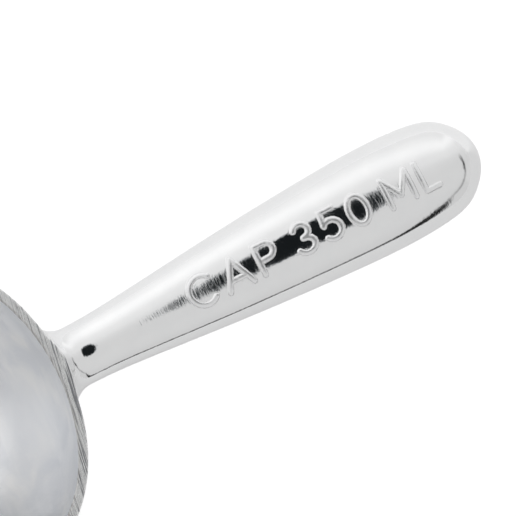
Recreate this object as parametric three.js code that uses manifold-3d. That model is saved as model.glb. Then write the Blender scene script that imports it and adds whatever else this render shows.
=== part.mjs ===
// Cast aluminium hand scoop, one piece: open round-bottomed bowl, flat ground rim, solid handle.
// Units are millimetres, +Z up. The rim's ground face is the plane z = 0.
// The origin is on that face, at the back of the rim, where the handle's neck meets it.
// +X runs along the handle to its tip, the bowl lies toward -X, and the part is symmetric in Y.

import * as THREE from 'three';
import { mergeVertices } from 'three/addons/utils/BufferGeometryUtils.js';
import Module from 'manifold-3d';

const wasm = await Module();
wasm.setup();

// ---- helpers ----
const radians = (degrees) => (degrees * Math.PI) / 180;

// Smooth monotone interpolation through a table of [x, value] pairs, held level past its ends.
function interpolate(table, x) {
  const last = table.length - 1;
  if (x <= table[0][0]) return table[0][1];
  if (x >= table[last][0]) return table[last][1];

  const step = (i) => table[i + 1][0] - table[i][0];
  const slope = (i) => (table[i + 1][1] - table[i][1]) / step(i);
  // Weighted harmonic mean of the slopes on either side, level at a peak or a dip.
  const tangent = (i) => {
    if (i === 0) return slope(0);
    if (i === last) return slope(last - 1);
    const before = slope(i - 1);
    const after = slope(i);
    if (before * after <= 0) return 0;
    const stepBefore = step(i - 1);
    const stepAfter = step(i);
    return (3 * (stepBefore + stepAfter))
      / ((2 * stepAfter + stepBefore) / before + (stepAfter + 2 * stepBefore) / after);
  };

  let i = 0;
  while (x > table[i + 1][0]) i += 1;
  const h = step(i);
  const t = (x - table[i][0]) / h;
  return (
    (1 + 2 * t) * (1 - t) ** 2 * table[i][1] + t * (1 - t) ** 2 * h * tangent(i)
    + t * t * (3 - 2 * t) * table[i + 1][1] + t * t * (t - 1) * h * tangent(i + 1)
  );
}

// Closed three.js geometry to a solid. Faces are turned outward if they point in.
function toSolid(geometry) {
  // Normals and UVs are left behind, as they would keep the seams from merging.
  const bare = new THREE.BufferGeometry();
  bare.setAttribute('position', geometry.attributes.position);
  bare.setIndex(geometry.index);
  const merged = mergeVertices(bare, 1e-5);
  const { position } = merged.attributes;
  const corners = merged.index.array;

  const triangles = [];
  let signedVolume = 0;
  for (let i = 0; i < corners.length; i += 3) {
    const [a, b, c] = corners.slice(i, i + 3);
    if (a === b || b === c || a === c) continue;
    triangles.push(a, b, c);
    const [pointA, pointB, pointC] = [a, b, c].map(
      (corner) => new THREE.Vector3().fromBufferAttribute(position, corner),
    );
    signedVolume += pointA.dot(pointB.cross(pointC));
  }
  if (signedVolume < 0) {
    for (let i = 0; i < triangles.length; i += 3) {
      [triangles[i + 1], triangles[i + 2]] = [triangles[i + 2], triangles[i + 1]];
    }
  }
  return new wasm.Manifold(new wasm.Mesh({
    numProp: 3,
    vertProperties: new Float32Array(position.array),
    triVerts: new Uint32Array(triangles),
  }));
}

function toGeometry(solid) {
  const mesh = solid.getMesh();
  const geometry = new THREE.BufferGeometry();
  const vertices = new Float32Array(mesh.vertProperties);
  geometry.setAttribute('position', new THREE.BufferAttribute(vertices, 3));
  geometry.setIndex(new THREE.BufferAttribute(new Uint32Array(mesh.triVerts), 1));
  geometry.computeVertexNormals();
  return geometry;
}

// ---- bowl ----
const BOWL_HALF_WIDTH = 41.3; // outside, at the rim
const BOWL_DEPTH = 42.5; // outside, below the rim plane
const BOWL_LENGTH = 152; // back of the rim to the lip
const BACK_LENGTH = 36; // length of the rounded back end
const BACK_EXPONENT = 2.4; // above 2, so the back end runs into the straight sides smoothly
const TROUGH_LENGTH = BOWL_LENGTH + 15; // runs on past the lip, for the mouth to cut
const WALL_BACK = 2.4; // wall round the back end
const WALL_LIP = 1.8; // side wall at the trough's far end, thinning evenly from the back end
const BOWL_SEGMENTS = 56;
const BACK_STEPS = 10; // rings round the back end

// A trough with an elliptical section and a rounded back end, turned about the X axis.
// inset moves the surface inward; lipGrow widens it again toward the lip.
function trough(inset, lipGrow) {
  const radius = BOWL_HALF_WIDTH - inset;
  const backLength = BACK_LENGTH - inset;
  const profile = [new THREE.Vector2(0, -BACK_LENGTH + backLength)];
  for (let i = 1; i < BACK_STEPS; i += 1) {
    const angle = radians((i * 90) / BACK_STEPS);
    const reach = backLength * Math.cos(angle) ** (2 / BACK_EXPONENT);
    profile.push(new THREE.Vector2(radius * Math.sin(angle), -BACK_LENGTH + reach));
  }
  profile.push(
    new THREE.Vector2(radius, -BACK_LENGTH),
    new THREE.Vector2(radius + lipGrow * 0.5, -(BACK_LENGTH + TROUGH_LENGTH) / 2),
    new THREE.Vector2(radius + lipGrow, -TROUGH_LENGTH),
    new THREE.Vector2(0, -TROUGH_LENGTH),
  );
  const geometry = new THREE.LatheGeometry(profile, BOWL_SEGMENTS);
  geometry.rotateZ(-Math.PI / 2);
  geometry.scale(1, 1, (BOWL_DEPTH - inset) / radius);
  return toSolid(geometry);
}

const MOUTH_LENGTH = 71.6; // length of the sloping mouth along X, measured from the lip
const MOUTH_BLEND_RADIUS = 50; // radius between the level rim and the sloping mouth
const MOUTH_BLEND_STEPS = 7;
const MOUTH_SLOPE = 38; // degrees, below the blend
// Outer limits of the cutter, all clear of the bowl.
const CUTTER = { minX: -300, maxX: 20, minZ: -140, maxZ: 60, width: 160 };

// Everything above the rim plane and above the sloping mouth.
function mouthCutter() {
  const mouthStart = -(BOWL_LENGTH - MOUTH_LENGTH);
  const blend = [];
  for (let i = 0; i <= MOUTH_BLEND_STEPS; i += 1) {
    const angle = radians((MOUTH_SLOPE * i) / MOUTH_BLEND_STEPS);
    blend.push(new THREE.Vector2(
      mouthStart - MOUTH_BLEND_RADIUS * Math.sin(angle),
      -MOUTH_BLEND_RADIUS * (1 - Math.cos(angle)),
    ));
  }
  const blendEnd = blend[MOUTH_BLEND_STEPS];
  const slopeRun = (blendEnd.y - CUTTER.minZ) / Math.tan(radians(MOUTH_SLOPE));

  // Drawn with the shape's y as Z, then stood up.
  const outline = new THREE.Shape([
    new THREE.Vector2(CUTTER.maxX, 0),
    new THREE.Vector2(CUTTER.maxX, CUTTER.maxZ),
    new THREE.Vector2(CUTTER.minX, CUTTER.maxZ),
    new THREE.Vector2(CUTTER.minX, CUTTER.minZ),
    new THREE.Vector2(blendEnd.x - slopeRun, CUTTER.minZ),
    ...blend.reverse(),
  ]);
  const geometry = new THREE.ExtrudeGeometry(outline, {
    depth: CUTTER.width, bevelEnabled: false, curveSegments: 1,
  });
  geometry.rotateX(Math.PI / 2);
  geometry.translate(0, CUTTER.width / 2, 0);
  return toSolid(geometry);
}

function bowlSolid() {
  const outside = trough(0, 0);
  const cavity = trough(WALL_BACK, WALL_BACK - WALL_LIP);
  return outside.subtract(cavity).subtract(mouthCutter());
}

// ---- handle ----
const HANDLE_LENGTH = 113.85;
const NECK_FILLET = 5.6; // radius of the cast fillet between neck and bowl
const ROOT_INSET = 1.2; // how far the neck is carried into the bowl's wall
const ROOT_FADE = 8; // over this length the sections turn from bowl-shaped to flat
const TIP_START = 90; // past here the centre line is level
const GROUND_CUT_END = 6; // the rim is ground flat up to here; the handle rises past it
const GROUND_CUT = { length: 20, width: 60, height: 20 };
const SECTION_SEGMENTS = 32;

// The handle's tables start with the distance along it.
// Half width, interpolated as a square so that the tip comes out round.
const HALF_WIDTH = [
  [0, 7.75], [5, 7.68], [9.1, 7.66], [13.9, 8], [18.7, 8.4], [23.5, 8.87], [28.3, 9.33],
  [37.9, 10.28], [47.5, 11.14], [57.1, 11.92], [66.7, 12.57], [76.3, 13.13], [82, 13.4],
  [87.5, 13.5], [92, 13.4], [95.5, 13.23], [97.9, 13.03], [100.3, 12.77], [102.7, 12.35],
  [105.1, 11.68], [107.5, 10.46], [109.6, 8.67], [111.2, 7], [112.4, 5.3], [HANDLE_LENGTH, 0],
];
const HALF_WIDTH_SQUARED = HALF_WIDTH.map(([along, width]) => [along, width * width]);
// Half height over half width of the section.
const FLATNESS = [[0, 0.77], [12, 0.77], [45, 0.8], [90, 0.82], [HANDLE_LENGTH, 0.82]];
// Exponent of the section's superellipse: 2 is an ellipse, more is flatter on top.
const SECTION_POWER = [
  [0, 2], [14, 2], [45, 2.25], [85, 2.25], [100, 2.05], [HANDLE_LENGTH, 2],
];
// Height of the top ridge over the rim plane, without the fillet, as far as TIP_START.
const RIDGE = [
  [0, -2.2], [5.4, -2.2], [6.2, -2.18], [7.7, -1.98], [9.3, -1.55], [10.5, -1.09], [12, -0.44],
  [14, 0.4], [20, 2.68], [27, 5.01], [38, 8.44], [48, 11.44], [58, 13.97], [67, 15.75],
  [75, 16.93], [82, 17.65], [87, 17.96], [TIP_START, 18.08],
];
// Distances along the handle at which its sections are placed.
const STATIONS = [
  -ROOT_INSET, 0.02, 0.3, 0.9, 1.8, 3.2, 4.8, 6.5, 7.7, 9, 10.5, 14, 20, 27, 36, 46, 56, 66, 75,
  82, 88, 93, 97.5, 101, 104, 106.5, 108.7, 110.6, 112.1, 113.2, HANDLE_LENGTH,
];

// x of the bowl's outside at (y, z), used to seat the neck's first sections on the bowl.
function bowlBack(y, z) {
  const remainder = 1 - (y / BOWL_HALF_WIDTH) ** 2 - (z / BOWL_DEPTH) ** 2;
  return -BACK_LENGTH + BACK_LENGTH * Math.max(remainder, 0) ** (1 / BACK_EXPONENT);
}

// What the fillet adds to the section all round.
function filletGrow(along) {
  if (along >= NECK_FILLET) return 0;
  const distance = Math.max(along, 0);
  return NECK_FILLET - Math.sqrt(NECK_FILLET ** 2 - (NECK_FILLET - distance) ** 2);
}

const halfWidth = (along) => Math.sqrt(Math.max(interpolate(HALF_WIDTH_SQUARED, along), 0));
const halfHeight = (along) => halfWidth(along) * interpolate(FLATNESS, along);

function sectionAt(along) {
  const level = Math.min(along, TIP_START);
  const grow = filletGrow(along);
  return {
    halfY: halfWidth(along) + grow,
    halfZ: halfHeight(along) + grow,
    centreZ: interpolate(RIDGE, level) - halfHeight(level),
    power: 2 / interpolate(SECTION_POWER, along),
    fade: THREE.MathUtils.smoothstep(1 - along / ROOT_FADE, 0, 1),
  };
}

function handleSolid() {
  // A unit cylinder with one ring per station, closed at the root and drawn to a point at the
  // tip. Its y is the station's index, and each vertex is then moved to its place.
  const last = STATIONS.length - 1;
  const profile = [new THREE.Vector2(0, 0)];
  for (let i = 0; i < last; i += 1) profile.push(new THREE.Vector2(1, i));
  profile.push(new THREE.Vector2(0, last));
  const geometry = new THREE.LatheGeometry(profile, SECTION_SEGMENTS);

  const sections = STATIONS.map(sectionAt);
  const { position } = geometry.attributes;
  for (let i = 0; i < position.count; i += 1) {
    const station = Math.round(position.getY(i));
    const { halfY, halfZ, centreZ, power, fade } = sections[station];
    const radius = Math.min(1, Math.hypot(position.getX(i), position.getZ(i)));
    const angle = Math.atan2(position.getZ(i), position.getX(i));
    const bend = (value) => Math.sign(value) * Math.abs(value) ** power;
    const y = radius * halfY * bend(Math.cos(angle));
    const z = centreZ + radius * halfZ * bend(Math.sin(angle));
    position.setXYZ(i, STATIONS[station] + fade * bowlBack(y, z), y, z);
  }

  const { length, width, height } = GROUND_CUT;
  const cut = new THREE.BoxGeometry(length, width, height);
  cut.translate(GROUND_CUT_END - length / 2, 0, height / 2);
  return toSolid(geometry).subtract(toSolid(cut));
}

// ---- assembly ----
const aluminium = new THREE.MeshStandardMaterial({
  color: 0xd4d6d8, roughness: 0.16, metalness: 1,
});
const scoop = new THREE.Mesh(toGeometry(bowlSolid().add(handleSolid())), aluminium);
scoop.name = 'scoop_casting';

const group = new THREE.Group();
group.add(scoop);
export default group;
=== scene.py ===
"""One-piece cast aluminium hand scoop, with its cast fillets, ground rim and raised capacity mark.

The bowl is a trough along X below z = 0, its rounded back end at x = 0 and its open mouth toward -X.
The handle runs toward +X with the mark on its top. The solid is a signed function of points in
millimetres, negative inside, and the mesh is drawn from it.
"""

import math

import bpy
import numpy as np
from mathutils import Matrix, Vector


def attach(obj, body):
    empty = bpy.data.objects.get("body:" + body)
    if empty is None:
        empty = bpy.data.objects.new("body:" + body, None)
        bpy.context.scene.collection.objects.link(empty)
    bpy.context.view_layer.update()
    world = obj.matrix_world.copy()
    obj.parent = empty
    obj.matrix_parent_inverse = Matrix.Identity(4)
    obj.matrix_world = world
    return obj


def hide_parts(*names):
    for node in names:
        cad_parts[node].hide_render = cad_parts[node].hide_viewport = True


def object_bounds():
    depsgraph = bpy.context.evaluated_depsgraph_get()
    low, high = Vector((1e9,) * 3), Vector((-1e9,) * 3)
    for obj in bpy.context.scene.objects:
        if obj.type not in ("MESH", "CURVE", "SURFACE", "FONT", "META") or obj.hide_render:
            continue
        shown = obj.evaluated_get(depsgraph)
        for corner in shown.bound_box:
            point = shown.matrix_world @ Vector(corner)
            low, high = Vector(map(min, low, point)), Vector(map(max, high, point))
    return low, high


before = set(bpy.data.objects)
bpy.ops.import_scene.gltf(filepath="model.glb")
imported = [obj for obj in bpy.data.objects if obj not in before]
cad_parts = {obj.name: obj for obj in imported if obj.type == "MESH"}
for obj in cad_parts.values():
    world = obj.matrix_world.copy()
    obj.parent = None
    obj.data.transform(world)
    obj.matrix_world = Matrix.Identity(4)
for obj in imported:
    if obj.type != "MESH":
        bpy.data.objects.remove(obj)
CAD_LO, CAD_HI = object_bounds()

# ---------------------------------------------------------------- dimensions, in millimetres
BOWL_HALF_WIDTH, BOWL_DEPTH = 41.3, 42.5  # outside
BACK_LENGTH, BACK_POWER = 36.0, 2.4  # length and exponent of the rounded back end
WALL, WALL_LIP = 2.4, 1.8
THINNING_START, THINNING_LENGTH = -29, 138  # where the wall starts to thin toward the lip
BOWL_LENGTH, MOUTH_LENGTH = 152.0, 71.6
MOUTH_START = -(BOWL_LENGTH - MOUTH_LENGTH)
MOUTH_RADIUS, MOUTH_SLOPE = 50.0, math.radians(38.0)
GROUND_END, GROUND_LIFT = 4.5, 1.6  # where the ground plane lifts off the neck, and how steeply
FILLET = 5.6
EDGE_RADIUS = 0.32  # the ground edges are barely broken
HANDLE_INSET = 1.2  # how far the handle enters the bowl's wall
TIP_START, TIP = 90.0, 113.85
TIP_FALL = 19.4  # fall of the squared half width per millimetre past the tip

# (x, half width of the handle)
HALF_WIDTH = [
    (0, 7.75), (5, 7.68), (9.1, 7.66), (13.9, 8), (18.7, 8.4), (23.5, 8.87), (28.3, 9.33),
    (37.9, 10.28), (47.5, 11.14), (57.1, 11.92), (66.7, 12.57), (76.3, 13.13), (82, 13.4),
    (87.5, 13.5), (92, 13.4), (95.5, 13.23), (97.9, 13.03), (100.3, 12.77), (102.7, 12.35),
    (105.1, 11.68), (107.5, 10.46), (109.6, 8.67), (111.2, 7), (112.4, 5.3), (113.85, 0),
]
# (x, half height of the handle over its half width)
FLATNESS = [(0, 0.77), (12, 0.77), (45, 0.8), (90, 0.82), (113.85, 0.82)]
# (x, exponent of the handle's superelliptic section)
SECTION_POWER = [(0, 2), (14, 2), (45, 2.25), (85, 2.25), (100, 2.05), (113.85, 2)]
# (x, z of the handle's top)
RIDGE = [
    (0, -2.2), (5.4, -2.2), (6.2, -2.18), (7.7, -1.98), (9.3, -1.55), (10.5, -1.09), (12, -0.44),
    (14, 0.4), (20, 2.68), (27, 5.01), (38, 8.44), (48, 11.44), (58, 13.97), (67, 15.75),
    (75, 16.93), (82, 17.65), (87, 17.96), (90, 18.08),
]

# raised capacity characters
WORDS = ["CAP", "350", "ML"]
TEXT_FROM, TEXT_TO = 33.3, 100.1
CAP_HEIGHT, STROKE, RAISE = 8.7, 1.25, 0.48
WORD_GAP = 2.5  # in letter gaps
TEXT_MARGIN = 1.5
FAR = 9.0  # stroke distance given away from the characters


# ---------------------------------------------------------------- interpolation
def pchip(table, x):
    """Smooth monotone interpolation through (x, value) pairs."""
    knots, values = (np.array(column, float) for column in zip(*table))
    gaps = np.diff(knots)
    chords = np.diff(values) / gaps
    slopes = np.zeros_like(knots)
    slopes[0], slopes[-1] = chords[0], chords[-1]
    for i in range(1, len(knots) - 1):
        if chords[i - 1] * chords[i] > 0:
            before, after = 2 * gaps[i] + gaps[i - 1], gaps[i] + 2 * gaps[i - 1]
            slopes[i] = (before + after) / (before / chords[i - 1] + after / chords[i])
    x = np.clip(x, knots[0], knots[-1])
    i = np.clip(np.searchsorted(knots, x, side="right") - 1, 0, len(gaps) - 1)
    part = (x - knots[i]) / gaps[i]
    return (
        (1 + 2 * part) * (1 - part) ** 2 * values[i]
        + part * (1 - part) ** 2 * gaps[i] * slopes[i]
        + part * part * (3 - 2 * part) * values[i + 1]
        + part * part * (part - 1) * gaps[i] * slopes[i + 1]
    )


def fade(x, start, length):
    return np.clip((x - start) / length, 0, 1)


def smoothstep(start, end, value):
    part = np.clip((value - start) / (end - start), 0, 1)
    return part * part * (3 - 2 * part)


def blended(first, second, share):
    return first * (1 - share) + second * share


STEP = 0.05
STATIONS = np.arange(-8.0, 122.0, STEP)


def at(column, x):
    return np.interp(x, STATIONS, column)


def smoothed(column, sigma):
    """Gaussian blur of a column over STATIONS, its ends carried on straight."""
    reach = int(4 * sigma / STEP)
    kernel = np.exp(-0.5 * (np.arange(-reach, reach + 1) * STEP / sigma) ** 2)
    kernel /= kernel.sum()
    left = column[0] + (column[1] - column[0]) * np.arange(-reach, 0)
    right = column[-1] + (column[-1] - column[-2]) * np.arange(1, reach + 1)
    return np.convolve(np.concatenate([left, column, right]), kernel, "valid")


def handle_profile():
    """Squared half width, flatness, middle height and section exponent over STATIONS."""
    width2 = pchip([(x, width * width) for x, width in HALF_WIDTH], STATIONS)
    width2 = np.where(STATIONS > TIP, -TIP_FALL * (STATIONS - TIP), width2)
    near_tip = fade(STATIONS, start=84, length=10)
    width2 = blended(smoothed(width2, sigma=4.0), smoothed(width2, sigma=1.0), near_tip)
    flat = smoothed(pchip(FLATNESS, STATIONS), sigma=3.0)
    power = smoothed(pchip(SECTION_POWER, STATIONS), sigma=3.0)
    # past TIP_START the middle stays level
    level = np.minimum(STATIONS, TIP_START)
    ridge = pchip(RIDGE, level)
    past_neck = fade(STATIONS, start=12, length=10)
    ridge = blended(smoothed(ridge, sigma=0.7), smoothed(ridge, sigma=3.5), past_neck)
    middle = ridge - np.sqrt(np.maximum(at(width2, level), 0)) * at(flat, level)
    middle = np.where(STATIONS > TIP_START, at(middle, TIP_START), middle)
    return width2, flat, smoothed(middle, sigma=1.0), power


WIDTH2, FLAT, MIDDLE, POWER = handle_profile()
SLOPES = [np.gradient(column, STEP) for column in (WIDTH2, FLAT, MIDDLE)]


# ---------------------------------------------------------------- the solid as a signed function
def trough(points, inset, end_inset):
    """About the distance to a trough with an elliptical section and a rounded back end."""
    x, y, z = points.T
    half_width, depth = BOWL_HALF_WIDTH - inset, BOWL_DEPTH - inset
    back = BACK_LENGTH - end_inset
    run = np.maximum(x + BACK_LENGTH, 0) / back
    section = (y / half_width) ** 2 + (z / depth) ** 2
    rise = run ** (BACK_POWER - 1)
    radius = np.sqrt(np.maximum(section + rise * run, 1e-9))
    slope = np.stack([BACK_POWER * rise / back, 2 * y / half_width**2, 2 * z / depth**2])
    slope = slope / (2 * radius)
    return (radius - 1) / np.maximum(np.sqrt((slope * slope).sum(0)), 1e-4)


def inner_wall(points):
    toward_lip = np.clip((THINNING_START - points[:, 0]) / THINNING_LENGTH, 0, 1)
    return trough(points, WALL - (WALL - WALL_LIP) * toward_lip, WALL)


def ground_plane(points):
    """Height over the rim plane and, past MOUTH_START, over the rounded and sloping mouth."""
    x, z = points[:, 0], points[:, 2]
    across, up = x - MOUTH_START, z + MOUTH_RADIUS
    turn = np.arctan2(-across, up)
    slope = -across * math.sin(MOUTH_SLOPE) + up * math.cos(MOUTH_SLOPE) - MOUTH_RADIUS
    on_arc = (turn < MOUTH_SLOPE) & (up > 0)
    mouth = np.where(on_arc, np.hypot(across, up) - MOUTH_RADIUS, slope)
    return np.where(across >= 0, z, mouth) - GROUND_LIFT * np.maximum(x - GROUND_END, 0)


def handle(points):
    """About the distance to the handle, in a form that also holds at the tip's zero width."""
    x, y, z = points.T
    width2, flat, middle, power = (at(column, x) for column in (WIDTH2, FLAT, MIDDLE, POWER))
    width2_slope, flat_slope, middle_slope = (at(column, x) for column in SLOPES)
    lift = (z - middle) / flat
    abs_y, abs_lift = np.abs(y) + 1e-6, np.abs(lift) + 1e-6
    radius = (abs_y**power + abs_lift**power) ** (1 / power)
    by_y = (abs_y / radius) ** (power - 1) * np.sign(y)
    by_lift = (abs_lift / radius) ** (power - 1) * np.sign(lift)
    by_x = by_lift * (-middle_slope / flat - lift * flat_slope / flat)
    width = np.sqrt(np.maximum(width2, 1.0))
    steepness = by_y**2 + (by_lift / flat) ** 2 + (by_x - width2_slope / (2 * width)) ** 2
    shaft = (radius - width) / np.sqrt(steepness)
    grad_x = 2 * radius * by_x - width2_slope
    grad_y = 2 * radius * by_y
    grad_z = 2 * radius * by_lift / flat
    tip = (radius**2 - width2) / np.sqrt(grad_x**2 + grad_y**2 + grad_z**2 + 1e-6)
    return blended(shaft, tip, fade(x, start=80, length=12))


def round_union(first, second, radius):
    corner = np.hypot(np.maximum(radius - first, 0), np.maximum(radius - second, 0))
    return np.maximum(radius, np.minimum(first, second)) - corner


def round_cut(first, second, radius):
    """Intersection of two solids with its edge rounded."""
    corner = np.hypot(np.maximum(radius + first, 0), np.maximum(radius + second, 0))
    return np.minimum(-radius, np.maximum(first, second)) + corner


def arc(center_x, center_y, radius_x, radius_y, start, end, count):
    angles = np.radians(np.linspace(start, end, count))
    return [(center_x + radius_x * math.cos(angle), center_y + radius_y * math.sin(angle))
            for angle in angles]


# character: (width, stroke centre lines), in units of the centre lines' height
GLYPHS = {
    "C": (0.80, [arc(0.45, 0.5, 0.45, 0.5, 48, 312, 22)]),
    "A": (0.84, [[(0, 0), (0.42, 1), (0.84, 0)], [(0.13, 0.31), (0.71, 0.31)]]),
    "P": (0.58, [
        [(0, 0), (0, 1), (0.31, 1)] + arc(0.31, 0.73, 0.27, 0.27, 90, -90, 12) + [(0, 0.46)],
    ]),
    "3": (0.58, [
        arc(0.29, 0.75, 0.25, 0.25, 158, -90, 14),
        arc(0.28, 0.25, 0.30, 0.25, 90, -158, 14),
    ]),
    "5": (0.58, [
        [(0.52, 1), (0.10, 1), (0.05, 0.53)] + arc(0.26, 0.32, 0.32, 0.32, 132, -140, 18),
    ]),
    "0": (0.64, [arc(0.32, 0.5, 0.32, 0.5, 0, 360, 26)]),
    "M": (0.88, [[(0, 0), (0, 1), (0.44, 0.28), (0.88, 1), (0.88, 0)]]),
    "L": (0.50, [[(0, 1), (0, 0), (0.50, 0)]]),
}


def text_segments():
    """Stroke segments of the capacity mark, as rows of start x, start y, end x, end y."""
    high = CAP_HEIGHT - STROKE
    used = sum(GLYPHS[letter][0] * high + STROKE for word in WORDS for letter in word)
    letter_gaps = sum(len(word) - 1 for word in WORDS)
    gap = (TEXT_TO - TEXT_FROM - used) / (letter_gaps + WORD_GAP * (len(WORDS) - 1))
    x, rows = TEXT_FROM, []
    for word in WORDS:
        for letter in word:
            width, lines = GLYPHS[letter]
            for line in lines:
                path = [(x + STROKE / 2 + right * high, -high / 2 + up * high)
                        for right, up in line]
                rows += [(*start, *end) for start, end in zip(path, path[1:])]
            x += width * high + STROKE + gap
        x += (WORD_GAP - 1) * gap
    rows = np.array(rows)
    return rows[np.hypot(rows[:, 2] - rows[:, 0], rows[:, 3] - rows[:, 1]) > 1e-3]


SEGMENTS = text_segments()


def stroke_distance(points):
    """Distance in plan to the nearest stroke's centre line, or FAR away from the characters."""
    out = np.full(len(points), FAR)
    x, y, z = points.T
    side = CAP_HEIGHT / 2 + TEXT_MARGIN
    in_plan = (x > TEXT_FROM - TEXT_MARGIN) & (x < TEXT_TO + TEXT_MARGIN) & (y > -side) & (y < side)
    near = np.nonzero(in_plan & (z > at(MIDDLE, x)))[0]
    if not len(near):
        return out
    plan = points[near, :2]
    best = np.full(len(near), FAR)
    for start_x, start_y, end_x, end_y in SEGMENTS:
        line = np.array([end_x - start_x, end_y - start_y])
        offset = plan - (start_x, start_y)
        part = np.clip(offset @ line / (line @ line), 0, 1)
        best = np.minimum(best, np.hypot(*(offset - part[:, None] * line).T))
    out[near] = best
    return out


def parts(points, text_raise=RAISE):
    """(bowl and handle together, inner wall, ground plane)."""
    wall = trough(points, 0.0, 0.0)
    grip = np.maximum(handle(points), -(wall + HANDLE_INSET))
    stroke = stroke_distance(points)
    body = round_union(wall, grip, FILLET)
    # the characters stand up with soft flanks and a slightly crowned top
    flank = smoothstep(STROKE / 2 + 0.15, STROKE / 2 - 0.15, stroke)
    lift = 0.8 * flank + 0.2 * np.clip(1 - (2 * stroke / STROKE) ** 2, 0, 1)
    body = body - np.where((stroke < 2) & (grip > -3), text_raise * lift, 0)
    return body, inner_wall(points), ground_plane(points)


def solid(points, text_raise=RAISE):
    body, inner, ground = parts(points, text_raise)
    return round_cut(round_cut(body, ground, EDGE_RADIUS), -inner, EDGE_RADIUS)


GRADIENT_STEP = 0.015


def gradient(points):
    out = np.empty_like(points)
    for i in range(3):
        shift = np.zeros(3)
        shift[i] = GRADIENT_STEP
        out[:, i] = (solid(points + shift) - solid(points - shift)) / (2 * GRADIENT_STEP)
    return out


def project(points, rounds, reach=0.6):
    """Moves points onto the surface, by no more than reach in a round."""
    for _ in range(rounds):
        slope = gradient(points)
        scale = solid(points) / np.maximum((slope * slope).sum(1), 0.05)
        move = -scale[:, None] * slope
        length = np.maximum(np.linalg.norm(move, axis=1), 1e-12)
        points = points + move * np.minimum(1, reach / length)[:, None]
    return points


# ---------------------------------------------------------------- meshing
NET_LO = np.array([-157.0, -43.5, -44.6])
NET_HI = np.array([115.8, 43.5, 20.6])
NET_CELL = 1.15
CHUNK = 12  # grid layers worked out at a time
CUBE = [(i, j, k) for i in (0, 1) for j in (0, 1) for k in (0, 1)]


def sample_grid(size):
    """The solid without its characters, over the grid."""
    axes = [NET_LO[i] + NET_CELL * np.arange(size[i]) for i in range(3)]
    field = np.empty(size, np.float32)
    layer_y, layer_z = np.meshgrid(axes[1], axes[2], indexing="ij")
    layer = np.stack([np.zeros(layer_y.size), layer_y.ravel(), layer_z.ravel()], 1)
    for i in range(0, size[0], CHUNK):
        chunk_x = axes[0][i : i + CHUNK]
        points = np.tile(layer, (len(chunk_x), 1))
        points[:, 0] = np.repeat(chunk_x, len(layer))
        field[i : i + CHUNK] = solid(points, text_raise=0.0).reshape(-1, size[1], size[2])
    return field


def halve_quads(verts, quads):
    """Cuts quads along their shorter diagonals."""
    ends = [verts[quads[:, i]] for i in range(4)]
    first = np.linalg.norm(ends[0] - ends[2], axis=1)
    short = (first <= np.linalg.norm(ends[1] - ends[3], axis=1))[:, None]
    return [np.where(short, quads[:, [0, 1, 2]], quads[:, [0, 1, 3]]),
            np.where(short, quads[:, [0, 2, 3]], quads[:, [1, 2, 3]])]


def surface_nets():
    """A vertex in every grid cell the surface crosses, and a quad round every crossed grid edge."""
    size = np.ceil((NET_HI - NET_LO) / NET_CELL).astype(int) + 1
    field = sample_grid(size)
    inside = field < 0
    total = sum(
        inside[tuple(slice(corner[i], size[i] - 1 + corner[i]) for i in range(3))].astype(np.int8)
        for corner in CUBE
    )
    cells = np.argwhere((total > 0) & (total < 8))
    index = np.full(size - 1, -1, np.int64)
    index[tuple(cells.T)] = np.arange(len(cells))
    values = {corner: field[tuple((cells + corner).T)].astype(float) for corner in CUBE}
    crossings, count = np.zeros((len(cells), 3)), np.zeros(len(cells))
    for corner in CUBE:
        for axis in range(3):
            if corner[axis]:
                continue
            start = values[corner]
            end = values[tuple(1 if i == axis else corner[i] for i in range(3))]
            hit = (start < 0) != (end < 0)
            place = np.tile(np.array(corner, float), (len(cells), 1))
            place[:, axis] += np.where(hit, start / np.where(hit, start - end, 1), 0)
            crossings += place * hit[:, None]
            count += hit
    verts = NET_LO + NET_CELL * (cells + crossings / count[:, None])
    quads = []
    for axis in range(3):
        sides = [(axis + 1) % 3, (axis + 2) % 3]
        first, second = [slice(None)] * 3, [slice(None)] * 3
        first[axis], second[axis] = slice(0, size[axis] - 1), slice(1, size[axis])
        start, end = inside[tuple(first)], inside[tuple(second)]
        for outward in (True, False):
            where = np.argwhere((start != end) & (start == outward))
            beside = where[:, sides]
            where = where[((beside > 0) & (beside < size[sides] - 1)).all(1)]
            ring = []
            for step in ((0, 0), (-1, 0), (-1, -1), (0, -1)):
                offset = np.zeros(3, int)
                offset[sides] = step
                ring.append(index[tuple((where + offset).T)])
            ring = np.stack(ring, 1)
            quads.append(ring if outward else ring[:, ::-1])
    return verts, np.concatenate(halve_quads(verts, np.concatenate(quads)))


def edges_of(tris):
    """The edges as vertex pairs, and each triangle's three edges."""
    pairs = np.sort(np.concatenate([tris[:, [0, 1]], tris[:, [1, 2]], tris[:, [2, 0]]]), axis=1)
    base = tris.max() + 1
    key, inverse = np.unique(pairs[:, 0] * base + pairs[:, 1], return_inverse=True)
    return np.stack([key // base, key % base], 1), inverse.reshape(3, -1).T


def relax(verts, tris, rounds):
    """Evens out the vertices along the surface."""
    start, end = edges_of(tris)[0].T
    size = len(verts)
    count = np.bincount(np.concatenate([start, end]), minlength=size).astype(float)
    for _ in range(rounds):
        total = np.stack([
            np.bincount(start, verts[end, i], size) + np.bincount(end, verts[start, i], size)
            for i in range(3)
        ], 1)
        normal = gradient(verts)
        normal /= np.maximum(np.linalg.norm(normal, axis=1, keepdims=True), 1e-6)
        move = total / count[:, None] - verts
        move -= (move * normal).sum(1, keepdims=True) * normal
        verts = project(verts + move * 0.5, 1)
    return verts


def grown(smallest, growth, distance):
    return smallest + growth * np.maximum(distance, 0)


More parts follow.
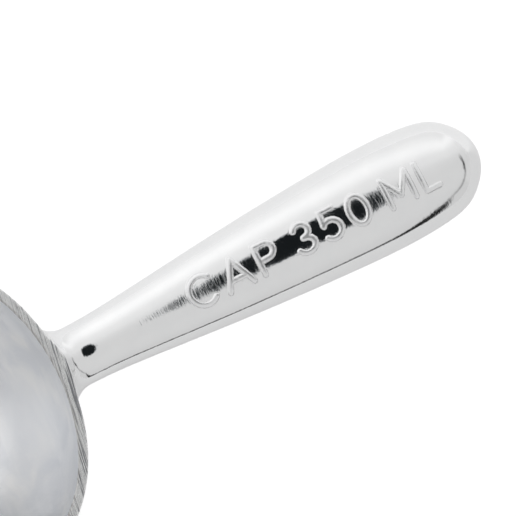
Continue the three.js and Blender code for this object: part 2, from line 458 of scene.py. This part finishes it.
def target(points):
    """Longest edge wanted at points: short by the neck, the rim and the characters."""
    x, y, z = points.T
    body, inner, ground = parts(points)
    size = np.where(x > 3, 1.05, 1.5)
    neck = np.hypot(np.maximum(np.abs(x - 3) - 6, 0), np.maximum(np.hypot(y, z + 7) - 14, 0))
    size = np.minimum(size, grown(smallest=0.8, growth=0.25, distance=neck))
    rim = np.minimum(np.hypot(body, ground), np.hypot(inner, ground))
    size = np.minimum(size, grown(smallest=0.30, growth=0.55, distance=rim - 0.35))
    stroke = stroke_distance(points)
    outside = grown(smallest=0.21, growth=0.6, distance=stroke - STROKE / 2 - 0.25)
    return np.minimum(size, grown(outside, growth=0.15, distance=STROKE / 2 - 0.25 - stroke))


SPLIT_OVER = 1.28  # edges this many times longer than their target are split


def split_edges(verts, tris):
    """Splits every edge that is too long, keeping the mesh closed."""
    edges, tri_edges = edges_of(tris)
    start, end = verts[edges[:, 0]], verts[edges[:, 1]]
    lengths = np.linalg.norm(start - end, axis=1)
    long = lengths > SPLIT_OVER * target((start + end) / 2)
    if not long.any():
        return verts, tris, False
    # a triangle's longest edge is split first, so that thin triangles don't build up
    longest = tri_edges[np.arange(len(tri_edges)), lengths[tri_edges].argmax(1)]
    for _ in range(40):
        need = long[tri_edges].any(1) & ~long[longest]
        if not need.any():
            break
        long[longest[need]] = True
    middle = np.full(len(edges), -1)
    ids = np.nonzero(long)[0]
    middle[ids] = len(verts) + np.arange(len(ids))
    verts = np.concatenate([verts, project((start[ids] + end[ids]) / 2, 2)])

    tri_middles = middle[tri_edges]
    marks = (tri_middles >= 0).sum(1)
    out = [tris[marks == 0]]

    def add(*corners):
        out.append(np.stack(corners, 1))

    for i in range(3):
        turned = [i, (i + 1) % 3, (i + 2) % 3]
        corners, middles = tris[:, turned], tri_middles[:, turned]
        one = (marks == 1) & (middles[:, 0] >= 0)
        add(corners[one, 0], middles[one, 0], corners[one, 2])
        add(middles[one, 0], corners[one, 1], corners[one, 2])
        two = (marks == 2) & (middles[:, 0] >= 0) & (middles[:, 1] >= 0)
        add(middles[two, 0], corners[two, 1], middles[two, 1])
        rest = (corners[two, 0], middles[two, 0], middles[two, 1], corners[two, 2])
        out += halve_quads(verts, np.stack(rest, 1))
    corners, middles = tris[marks == 3], tri_middles[marks == 3]
    add(corners[:, 0], middles[:, 0], middles[:, 2])
    add(middles[:, 0], corners[:, 1], middles[:, 1])
    add(middles[:, 2], middles[:, 1], corners[:, 2])
    out.append(middles)
    return verts, np.concatenate(out), True


def build_surface():
    # the first net leaves out the characters, being too coarse for their strokes
    verts, tris = surface_nets()
    verts = project(verts, 4)
    verts = relax(verts, tris, 4)
    for _ in range(6):
        verts, tris, more = split_edges(verts, tris)
        if not more:
            break
        verts = relax(verts, tris, 2)
    verts = relax(verts, tris, 3)
    return project(verts, 3, reach=0.2), tris


def build_mesh(verts, tris):
    normals = gradient(verts)
    normals /= np.maximum(np.linalg.norm(normals, axis=1, keepdims=True), 1e-9)
    mesh = bpy.data.meshes.new("scoop_body")
    mesh.vertices.add(len(verts))
    mesh.vertices.foreach_set("co", (verts * 0.001).astype(np.float32).ravel())
    mesh.loops.add(len(tris) * 3)
    mesh.loops.foreach_set("vertex_index", tris.astype(np.int32).ravel())
    mesh.polygons.add(len(tris))
    mesh.polygons.foreach_set("loop_start", np.arange(0, len(tris) * 3, 3, dtype=np.int32))
    mesh.update(calc_edges=True)
    mesh.polygons.foreach_set("use_smooth", np.ones(len(tris), bool))
    mesh.validate()
    mesh.normals_split_custom_set_from_vertices([tuple(normal) for normal in normals])
    return mesh


def surface_masks(verts):
    """Vertex weights that tell the material which finish is where."""
    body, inner, ground = (np.abs(distance) for distance in parts(verts))
    stroke = stroke_distance(verts)
    return {
        "ground": np.clip((np.minimum(body, inner) - ground) / 0.22 + 0.5, 0, 1),
        "inside": np.clip((np.minimum(body, ground) - inner) / 0.22 + 0.5, 0, 1),
        # the skin close round the strokes
        "hollow": smoothstep(1.8, 1.0, stroke) * smoothstep(0.55, 0.8, stroke),
        "raised": smoothstep(0.72, 0.5, stroke),
        # the rim's inner edge, made rougher and darkened with painted shade
        "corner": smoothstep(0.5, 0.18, np.hypot(inner, ground)),
    }


verts, tris = build_surface()
mesh = build_mesh(verts, tris)
masks = surface_masks(verts)
for name, values in masks.items():
    layer = mesh.attributes.new(name, "FLOAT", "POINT")
    layer.data.foreach_set("value", values.astype(np.float32))

scoop = bpy.data.objects.new("scoop_body", mesh)
bpy.context.scene.collection.objects.link(scoop)
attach(scoop, "root")
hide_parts("scoop_casting")


# ---------------------------------------------------------------- shader nodes
class Net:
    """Adds nodes to an emptied node tree and links them."""

    def __init__(self, owner):
        owner.use_nodes = True
        self.tree = owner.node_tree
        self.tree.nodes.clear()

    def add(self, kind, inputs=None, **props):
        node = self.tree.nodes.new(kind)
        for key, value in props.items():
            setattr(node, key, value)
        for key, value in (inputs or {}).items():
            socket = node.inputs[key]
            if isinstance(value, bpy.types.Node):
                value = value.outputs[0]
            if isinstance(value, bpy.types.NodeSocket):
                self.tree.links.new(value, socket)
            else:
                socket.default_value = value
        return node

    def math(self, operation, a, b=0.0, c=0.0):
        return self.add("ShaderNodeMath", {0: a, 1: b, 2: c}, operation=operation).outputs[0]

    def plus(self, a, b):
        return self.math("ADD", a, b)

    def minus(self, a, b):
        return self.math("SUBTRACT", a, b)

    def times(self, a, b):
        return self.math("MULTIPLY", a, b)

    def mix(self, share, a, b):
        """Mixes two numbers."""
        return self.add("ShaderNodeMix", {0: share, 2: a, 3: b}, data_type="FLOAT").outputs[0]

    def mix_color(self, share, a, b):
        return self.add("ShaderNodeMix", {0: share, 6: a, 7: b}, data_type="RGBA").outputs[2]

    def ramp(self, value, over, to=(0.0, 1.0), kind="SMOOTHSTEP"):
        inputs = {0: value, 1: over[0], 2: over[1], 3: to[0], 4: to[1]}
        return self.add("ShaderNodeMapRange", inputs, interpolation_type=kind).outputs[0]

    def curve(self, value, over, stops):
        """A smooth curve through (x, (red, green, blue)) stops, as a colour."""
        node = self.add("ShaderNodeValToRGB", {0: self.ramp(value, over, kind="LINEAR")})
        node.color_ramp.interpolation = "CARDINAL"
        elements = node.color_ramp.elements
        elements.remove(elements[1])
        for i, (x, color) in enumerate(stops):
            place = (x - over[0]) / (over[1] - over[0])
            element = elements.new(place) if i else elements[0]
            element.position = place
            element.color = (*color, 1)
        return node.outputs[0]

    def noise(self, vector, scale, detail=2.0, rough=0.5, distortion=0.0):
        inputs = {"Vector": vector, "Scale": scale, "Detail": detail, "Roughness": rough,
                  "Distortion": distortion}
        return self.add("ShaderNodeTexNoise", inputs).outputs[0]

    def streaks(self, vector, scales, **look):
        """Noise with its own scale along each axis."""
        mapping = self.add("ShaderNodeMapping", {0: vector, "Scale": scales})
        return self.noise(mapping.outputs[0], scale=1.0, **look)


# ---------------------------------------------------------------- aluminium
# metal colours
POLISHED_DULL, POLISHED_BRIGHT = (0.885, 0.888, 0.892, 1), (0.905, 0.907, 0.908, 1)
BOWL_COOL, BOWL_WARM = (0.940, 0.945, 0.955, 1), (0.955, 0.950, 0.938, 1)
BOWL_SMEAR, BOWL_STAIN = (0.855, 0.865, 0.885, 1), (0.825, 0.838, 0.862, 1)
# the second rim colour is painted shade for the deep belt scores
RIM_CLEAN, RIM_SCORE_SHADE = (0.88, 0.885, 0.88, 1), (0.27, 0.275, 0.29, 1)
# painted shade for the rim's inner edge
RIM_CORNER_SHADE = (0.36, 0.35, 0.34, 1)
# relief depths, in millimetres
WAVE_DEPTH, LINE_DEPTH, FINE_DEPTH, PIT_DEPTH, GRAIN_DEPTH = 0.10, 0.014, 0.006, 0.008, 0.004
CAST_DEPTH = 0.05  # added pitting on and round the characters
BELT_DEPTH, SCORE_DEPTH = 0.07, -0.05
MOTTLE_DEPTH, CLOUD_DEPTH = 0.05, 0.25
# roughness
HOLLOW_ROUGH, RAISED_ROUGH, CORNER_ROUGH = 0.13, 0.30, 0.5


def polished_skin(net, mm, hollow, raised):
    """Slow waves of the casting, buffing lines round the handle, and grain."""
    wave = net.noise(mm, scale=0.085, detail=1.0)
    lines = net.streaks(mm, (1.5, 0.28, 0.28), detail=3.0, rough=0.6)
    fine = net.streaks(mm, (5.0, 0.35, 0.35), rough=0.6)
    pits = net.noise(mm, scale=1.3, detail=3.0, rough=0.6)
    grain = net.noise(mm, scale=3.2, detail=3.0, rough=0.6)
    patch = net.noise(mm, scale=0.22, detail=3.0, rough=0.55)
    height = net.times(wave, WAVE_DEPTH)
    for noise, depth in (
        (lines, LINE_DEPTH), (fine, FINE_DEPTH), (pits, PIT_DEPTH), (grain, GRAIN_DEPTH),
    ):
        height = net.math("MULTIPLY_ADD", noise, depth, height)
    cast = net.math("MAXIMUM", raised, net.times(hollow, 0.3))
    height = net.math("MULTIPLY_ADD", net.times(cast, pits), CAST_DEPTH, height)
    rough = net.ramp(patch, over=(0.3, 0.75), to=(0.05, 0.09))
    rough = net.mix(net.times(hollow, 0.4), rough, HOLLOW_ROUGH)
    rough = net.mix(raised, rough, RAISED_ROUGH)
    return height, rough, net.mix_color(
        net.ramp(patch, over=(0.3, 0.7)), POLISHED_DULL, POLISHED_BRIGHT)


def ground_rim(net, mm):
    """Parallel belt lines across the part, some of them deep and painted dark as shade in their
    scores; also gives the deep ones.
    """
    y = net.add("ShaderNodeSeparateXYZ", {0: mm}).outputs[1]
    turn = {"Vector": mm, "Angle": math.radians(10)}
    belt_way = net.add("ShaderNodeVectorRotate", turn, rotation_type="Z_AXIS").outputs[0]
    belt = net.streaks(belt_way, (5.5, 0.10, 1.2), detail=4.0, rough=0.72)
    deep = net.streaks(belt_way, (1.9, 0.05, 0.5), detail=3.0, rough=0.6)
    # more of them carry painted shade in a band round y = -12
    shaded_band = net.ramp(net.math("ABSOLUTE", net.plus(y, 12.0)), over=(24.0, 6.0))
    # the deep scores are real relief; their darkness is painted shade
    dark = net.ramp(net.math("MULTIPLY_ADD", shaded_band, 0.07, deep), over=(0.54, 0.66))
    height = net.plus(net.times(belt, BELT_DEPTH), net.times(dark, SCORE_DEPTH))
    rough = net.ramp(belt, over=(0.3, 0.7), to=(0.22, 0.4))
    return height, rough, net.mix_color(dark, RIM_CLEAN, RIM_SCORE_SHADE), deep


def bowl_inside(net, mm):
    """Satin, with large soft smears."""
    cloud = net.noise(mm, scale=0.06, detail=4.0, rough=0.6)
    mottle = net.noise(mm, scale=0.40)
    smear = net.streaks(mm, (0.10, 0.035, 0.05), detail=3.0, rough=0.55, distortion=0.8)
    stain = net.streaks(mm, (0.13, 0.07, 0.10), detail=3.0, distortion=0.5)
    warm = net.streaks(mm, (0.05, 0.05, 0.05), detail=1.0)
    height = net.plus(net.times(mottle, MOTTLE_DEPTH), net.times(cloud, CLOUD_DEPTH))
    rough = net.ramp(smear, over=(0.25, 0.75), to=(0.32, 0.40))
    pale = net.mix_color(net.ramp(warm, over=(0.4, 0.6)), BOWL_COOL, BOWL_WARM)
    color = net.mix_color(net.ramp(smear, over=(0.30, 0.66)), BOWL_SMEAR, pale)
    color = net.mix_color(net.ramp(stain, over=(0.38, 0.72)), color, BOWL_STAIN)
    return height, rough, color


def aluminium():
    mat = bpy.data.materials.new("cast_aluminium")
    net = Net(mat)
    here = net.add("ShaderNodeTexCoord").outputs["Object"]
    to_mm = {0: here, 1: (1000, 1000, 1000)}
    mm = net.add("ShaderNodeVectorMath", to_mm, operation="MULTIPLY").outputs[0]
    ground, inside, hollow, raised, corner = (
        net.add("ShaderNodeAttribute", attribute_name=name).outputs["Fac"] for name in masks
    )
    skin_height, skin_rough, skin_color = polished_skin(net, mm, hollow, raised)
    rim_height, rim_rough, rim_color, deep = ground_rim(net, mm)
    bowl_height, bowl_rough, bowl_color = bowl_inside(net, mm)

    height = net.mix(ground, net.mix(inside, skin_height, bowl_height), rim_height)
    bump = net.add("ShaderNodeBump", {"Strength": 1.0, "Distance": 0.001, "Height": height})
    rough = net.mix(ground, net.mix(inside, skin_rough, bowl_rough), rim_rough)
    rough = net.mix(corner, rough, CORNER_ROUGH)
    color = net.mix_color(ground, net.mix_color(inside, skin_color, bowl_color), rim_color)
    # painted shade darkens the rim's inner edge, most where deep scores cross it
    corner_shade = net.times(corner, net.ramp(deep, over=(0.40, 0.60), to=(0.45, 0.95)))
    color = net.mix_color(corner_shade, color, RIM_CORNER_SHADE)
    shader = net.add("ShaderNodeBsdfPrincipled", {
        "Base Color": color, "Metallic": 1.0, "Roughness": rough, "Normal": bump,
    })
    net.add("ShaderNodeOutputMaterial", {"Surface": shader})
    return mat


mesh.materials.append(aluminium())

# ---------------------------------------------------------------- floor
FLOOR_HALF, FLOOR_DROP = 4.0, 0.0003  # metres
FLOOR_GLOW_SEEN = 0.47  # glow added for the camera only
WHITE = (1, 1, 1, 1)


def floor_material():
    mat = bpy.data.materials.new("pale_floor")
    net = Net(mat)
    seen = net.add("ShaderNodeLightPath").outputs["Is Camera Ray"]
    here = net.add("ShaderNodeTexCoord").outputs["Object"]
    tone = net.mix_color(net.noise(here, scale=3.0), (0.9, 0.9, 0.9, 1), (0.92, 0.92, 0.92, 1))
    paper = net.add("ShaderNodeBsdfDiffuse", {"Color": tone, "Roughness": 0.0})
    # other rays see a glow that grows toward +Y
    y = net.add("ShaderNodeSeparateXYZ", {0: here}).outputs[1]
    under = net.plus(net.ramp(y, over=(-0.02, 0.03), to=(0.05, 0.22)),
                     net.ramp(y, over=(0.03, 0.6), to=(0.0, 0.04)))
    strength = net.mix(seen, under, FLOOR_GLOW_SEEN)
    lift = net.add("ShaderNodeEmission", {"Color": WHITE, "Strength": strength})
    both = net.add("ShaderNodeAddShader", {0: paper, 1: lift})
    net.add("ShaderNodeOutputMaterial", {"Surface": both})
    return mat


floor_mesh = bpy.data.meshes.new("floor")
floor_corners = [(x * FLOOR_HALF, y * FLOOR_HALF, CAD_LO.z - FLOOR_DROP)
                 for x, y in ((-1, -1), (1, -1), (1, 1), (-1, 1))]
floor_mesh.from_pydata(floor_corners, [], [(0, 1, 2, 3)])
floor_mesh.materials.append(floor_material())
floor = bpy.data.objects.new("floor", floor_mesh)
bpy.context.scene.collection.objects.link(floor)

# ---------------------------------------------------------------- light tent
TILT = math.radians(10.8)  # the camera leans toward the bowl, square to the handle's top
TO_CAMERA = Vector((-math.sin(TILT), 0, math.cos(TILT)))
ALONG = Vector((math.cos(TILT), 0, math.sin(TILT)))
ACROSS = Vector((0, 1, 0))

# (sine of the angle toward +Y, the tent's brightness)
TENT = [
    (-1, 0.66), (-0.94, 0.67), (-0.866, 0.695), (-0.7, 0.705), (-0.5, 0.70), (-0.17, 0.70),
    (0, 0.72), (0.087, 0.745), (0.17, 0.775), (0.26, 0.82), (0.34, 0.845), (0.42, 0.86),
    (0.5, 0.89), (0.574, 0.94), (0.643, 0.99), (0.707, 1.03), (0.766, 1.055), (0.83, 1.06),
    (0.89, 1.04), (0.94, 1.0), (0.97, 0.975), (0.99, 0.95), (1, 0.93),
]
# the dark gap round the tent's foot: (bearing from +X in degrees, height of its middle,
# half its height, darkness), both heights as sines
GAP = [
    (-180, 0.02, 0.04, 0.9), (-140, 0.02, 0.05, 0.92), (-112, 0.0, 0.075, 0.95),
    (-104, 0.01, 0.05, 0.92), (-99, 0.045, 0.04, 0.92), (-94, 0.065, 0.034, 0.92),
    (-88, 0.07, 0.036, 0.94), (-85, 0.08, 0.042, 0.95), (-81, 0.09, 0.055, 0.96),
    (-77, 0.10, 0.08, 0.97), (-71.5, 0.105, 0.105, 0.97), (-67.3, 0.185, 0.115, 0.97),
    (-64.5, 0.25, 0.08, 0.75), (-60, 0.33, 0.04, 0.35), (-52, 0.335, 0.04, 0.4),
    (-38, 0.32, 0.04, 0.45), (-25, 0.285, 0.04, 0.5), (-16, 0.30, 0.05, 0.9),
    (-9, 0.30, 0.06, 0.75), (-2, 0.335, 0.06, 0.55), (3, 0.33, 0.05, 0.2), (7, 0.33, 0.0, 0.0),
]
OPENING = (math.cos(math.radians(15.1)), math.cos(math.radians(13.7)))  # its soft edge
OPENING_TINT = (0.75, 0.9, 1.0, 1)
DARKEST, SEEN_LEVEL = 0.012, 0.98  # least brightness, and the even one the camera sees
CORNER_FALL = 0.12  # how much the tent dims toward both +X and +Y


def studio():
    """A pale tent, brighter toward +Y, with the camera's dark opening and the gap at its foot."""
    world = bpy.data.worlds.new("studio")
    bpy.context.scene.world = world
    net = Net(world)
    way = net.add("ShaderNodeTexCoord").outputs["Generated"]
    to_camera, across, along = (
        net.add("ShaderNodeVectorMath", {0: way, 1: tuple(axis)}, operation="DOT_PRODUCT")
        .outputs["Value"]
        for axis in (TO_CAMERA, ACROSS, ALONG)
    )
    along2 = net.math("MINIMUM", net.times(along, along), 0.6)
    spread = net.math("SQRT", net.minus(1.0, along2))
    # the curve holds half the brightness, to stay within a colour's range
    stops = [(sine, (level / 2, 0, 0)) for sine, level in TENT]
    level = net.curve(net.math("DIVIDE", across, spread), (-1, 1), stops)
    level = net.times(net.add("ShaderNodeSeparateColor", {0: level}).outputs[0], 2.0)
    fall = net.times(along, net.math("MAXIMUM", across, 0.0))
    level = net.minus(level, net.times(fall, CORNER_FALL))

    # the opening's edge is uneven, and pushed outward both ways along the handle
    wobble = net.minus(net.noise(way, scale=9.0, detail=3.0, rough=0.6), 0.5)
    edge = net.math("MULTIPLY_ADD", wobble, 0.010, to_camera)
    push = net.math("MAXIMUM", net.times(along, -0.012), net.times(along, 0.06))
    opening = net.ramp(net.plus(edge, push), over=OPENING)
    level = net.times(level, net.minus(1.0, opening))

    # the gap; the curve's channels hold its middle times 2, its half height times 5, its darkness
    xyz = net.add("ShaderNodeSeparateXYZ", {0: way})
    bearing = net.times(net.math("ARCTAN2", xyz.outputs[1], xyz.outputs[0]), 180 / math.pi)
    stops = [(angle, (2 * middle, 5 * half, dark)) for angle, middle, half, dark in GAP]
    shape = net.add("ShaderNodeSeparateColor", {0: net.curve(bearing, (-180, 20), stops)})
    middle, half = net.times(shape.outputs[0], 0.5), net.times(shape.outputs[1], 0.2)
    height = net.math("MULTIPLY_ADD", wobble, 0.03, xyz.outputs[2])
    off = net.math("ABSOLUTE", net.minus(height, middle))
    gap = net.times(net.ramp(net.minus(off, half), over=(0.012, -0.012)), shape.outputs[2])
    level = net.times(level, net.minus(1.0, gap))

    tint = net.mix_color(opening, WHITE, OPENING_TINT)
    level = net.math("MAXIMUM", level, DARKEST)
    seen = net.add("ShaderNodeLightPath").outputs["Is Camera Ray"]
    background = net.add("ShaderNodeBackground", {
        "Color": net.mix_color(seen, tint, WHITE),
        "Strength": net.mix(seen, level, SEEN_LEVEL),
    })
    net.add("ShaderNodeOutputWorld", {"Surface": background})


studio()

# ---------------------------------------------------------------- camera, in metres
ROLL = math.atan2(0.4587, 0.8886) + math.radians(0.2)  # the handle's slant in the frame
RIGHT = ALONG * math.cos(ROLL) - ACROSS * math.sin(ROLL)
UP = ALONG * math.sin(ROLL) + ACROSS * math.cos(ROLL)
FIELD, DISTANCE = 0.1238, 1.25  # width of the view at the aim, and distance to it
AIM = ALONG * 0.0535 + ACROSS * 0.00081 + TO_CAMERA * 0.010

camera_data = bpy.data.cameras.new("camera")
camera = bpy.data.objects.new("camera", camera_data)
bpy.context.scene.collection.objects.link(camera)
camera_data.sensor_width = 36
camera_data.sensor_fit = "HORIZONTAL"
camera_data.lens = 36 * DISTANCE / FIELD
camera_data.clip_start, camera_data.clip_end = 0.05, 30
turn = Matrix((RIGHT, UP, TO_CAMERA)).transposed().to_4x4()
camera.matrix_world = Matrix.Translation(AIM + TO_CAMERA * DISTANCE) @ turn
bpy.context.scene.camera = camera
bpy.context.scene.view_settings.view_transform = "Standard"
